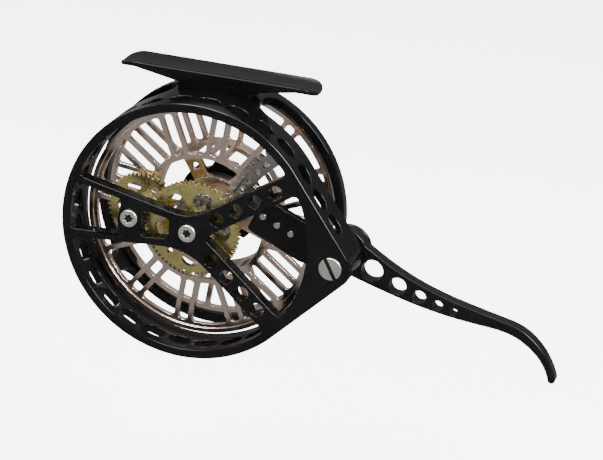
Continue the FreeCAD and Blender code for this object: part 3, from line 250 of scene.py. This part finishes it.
# Nodes whose edges are broken at full width, even beside short edges.
FULL_BREAKS = ("frame", "reel_foot", "spool_front_flange", "spool_rear_flange", "spool_arbor", "spool_hub",
               "lever", "lever_arm")
# Nodes whose nearly flat facets are joined more freely, which keeps their broken edges clean.
COARSE = ("frame", "reel_foot")
FRONT_SCREWS = ("axle_screw", "intermediate_screw", "pivot_screw")


def dress(node, material):
    """Give a CAD node its material, smooth shading and narrow broken edges that catch the light."""
    mesh = node.data
    mesh.materials.clear()
    mesh.materials.append(material)
    mesh.polygons.foreach_set("material_index", [0] * len(mesh.polygons))
    mesh.polygons.foreach_set("use_smooth", [True] * len(mesh.polygons))
    weld = node.modifiers.new("weld", "WELD")
    weld.merge_threshold = 0.002 * MM
    flatten = node.modifiers.new("join_flat_facets", "DECIMATE")
    flatten.decimate_type = "DISSOLVE"
    flatten.angle_limit = math.radians(2.0 if node.name in COARSE else 0.4)
    width = EDGE_BREAKS.get(node.name)
    if width:
        bevel = node.modifiers.new("edge_break", "BEVEL")
        bevel.width = width * MM
        bevel.segments = 2
        bevel.limit_method = "ANGLE"
        bevel.angle_limit = math.radians(40)
        bevel.use_clamp_overlap = node.name not in FULL_BREAKS
        even = node.modifiers.new("flat_face_normals", "WEIGHTED_NORMAL")
        even.weight = 100
    else:
        split = node.modifiers.new("hard_edges", "EDGE_SPLIT")
        split.split_angle = math.radians(35)


def dress_nodes(materials):
    """Assign every CAD node its material."""
    slots = {part["node"]: part["material_slot"] for part in frame["record"]["subparts"]}
    for name, node in frame["nodes"].items():
        dress(node, materials["front_screw" if name in FRONT_SCREWS else slots[name]])


# ---------------------------------------------------------------- stage, light and camera

def make_stage():
    """A round pale floor that curves up into a backdrop on every side, well away from the reel."""
    floor_radius = 1.5
    bend_radius = 0.7
    top = 2.4
    bend_steps = 12
    sides = 64
    drop = 0.09
    floor_height = CAD_BOX[0][2] - drop
    profile = []
    for index in range(bend_steps + 1):
        turn = math.radians(90 * index / bend_steps)
        profile.append((floor_radius + bend_radius * math.sin(turn),
                        floor_height + bend_radius * (1 - math.cos(turn))))
    profile.append((floor_radius + bend_radius, top))
    mesh = bpy.data.meshes.new("studio_floor")
    builder = bmesh.new()
    turns = [2 * math.pi * side / sides for side in range(sides)]
    rows = [[builder.verts.new((radius * math.cos(turn), radius * math.sin(turn), height)) for turn in turns]
            for radius, height in profile]
    builder.faces.new(rows[0])
    for low, high in zip(rows, rows[1:]):
        for side in range(sides):
            after = (side + 1) % sides
            builder.faces.new((low[side], low[after], high[after], high[side])).smooth = True
    builder.to_mesh(mesh)
    builder.free()
    floor = bpy.data.objects.new("studio_floor", mesh)
    bpy.context.scene.collection.objects.link(floor)
    material, _, _, shader = new_material("studio_paper")
    shader.inputs["Base Color"].default_value = (0.9, 0.9, 0.9, 1)
    shader.inputs["Roughness"].default_value = 0.9
    shader.inputs["Emission Color"].default_value = (1, 1, 1, 1)
    shader.inputs["Emission Strength"].default_value = 1.2
    floor.data.materials.append(material)
    floor.visible_glossy = False


def area_light(name, place, width, height, power):
    """A rectangular soft box that points at the reel."""
    light = bpy.data.lights.new(name, "AREA")
    light.shape = "RECTANGLE"
    light.size = width
    light.size_y = height
    light.energy = power
    holder = bpy.data.objects.new(name, light)
    holder.location = place
    holder.rotation_euler = (SPOOL_AXIS - Vector(place)).to_track_quat("-Z", "Y").to_euler()
    bpy.context.scene.collection.objects.link(holder)


# Name, place and size in metres, and power in watts.
SOFT_BOXES = (
    ("key_box", (-0.25, -0.45, 0.85), 0.6, 0.4, 30),
    ("right_box", (0.75, -0.45, 0.6), 0.3, 0.5, 44),
    ("top_box", (0.15, 0.45, 0.85), 0.8, 0.4, 8),
    ("left_strip", (-0.9, 0.1, 0.45), 0.1, 0.8, 8),
)
# Height of the direction from 0, straight down, to 1, straight up, and the air's brightness there.
AIR_LEVELS = ((0.0, 0.3), (0.32, 0.3), (0.45, 0.3), (0.55, 0.12), (0.75, 0.45), (1.0, 1.1))


def make_lights():
    """Soft boxes above, right and left, and air that is brighter overhead than at the horizon."""
    for light in SOFT_BOXES:
        area_light(*light)
    world = bpy.data.worlds.new("studio_air")
    world.use_nodes = True
    nodes, links = world.node_tree.nodes, world.node_tree.links
    direction = nodes.new("ShaderNodeTexCoord")
    split = nodes.new("ShaderNodeSeparateXYZ")
    links.new(direction.outputs["Generated"], split.inputs["Vector"])
    sky = nodes.new("ShaderNodeValToRGB")
    for index, (place, level) in enumerate(AIR_LEVELS):
        stop = sky.color_ramp.elements[index] if index < 2 else sky.color_ramp.elements.new(place)
        stop.position = place
        stop.color = (level, level, level, 1)
    height = nodes.new("ShaderNodeMapRange")
    height.inputs["From Min"].default_value = -1
    links.new(split.outputs["Z"], height.inputs["Value"])
    links.new(height.outputs["Result"], sky.inputs["Fac"])
    background = nodes["Background"]
    links.new(sky.outputs["Color"], background.inputs["Color"])
    background.inputs["Strength"].default_value = 1.0
    bpy.context.scene.world = world


def make_camera():
    """A long lens a little to the right of the reel and above it, slightly rolled."""
    azimuth = math.radians(15.23)
    elevation = math.radians(20.71)
    roll = math.radians(4.80)
    distance = 700 * MM
    step_right = 35.7 * MM
    step_up = 1.15 * MM
    back = Vector((math.sin(azimuth) * math.cos(elevation), -math.cos(azimuth) * math.cos(elevation),
                   math.sin(elevation)))
    level_right = Vector((math.cos(azimuth), math.sin(azimuth), 0))
    level_up = back.cross(level_right)
    right = math.cos(roll) * level_right + math.sin(roll) * level_up
    up = math.cos(roll) * level_up - math.sin(roll) * level_right
    aim = Vector((SPOOL_AXIS.x, FRONT_FACE, SPOOL_AXIS.z))
    place = aim + distance * back + step_right * right + step_up * up
    lens = bpy.data.cameras.new("studio_camera")
    lens.sensor_width = 36
    lens.lens = 134.26
    lens.clip_start = 0.01
    camera = bpy.data.objects.new("studio_camera", lens)
    axes = Matrix((right, up, back)).transposed()
    camera.matrix_world = Matrix.Translation(place) @ axes.to_4x4()
    bpy.context.scene.collection.objects.link(camera)
    bpy.context.scene.camera = camera


make_camera()
dress_nodes(make_materials())
make_stage()
make_lights()
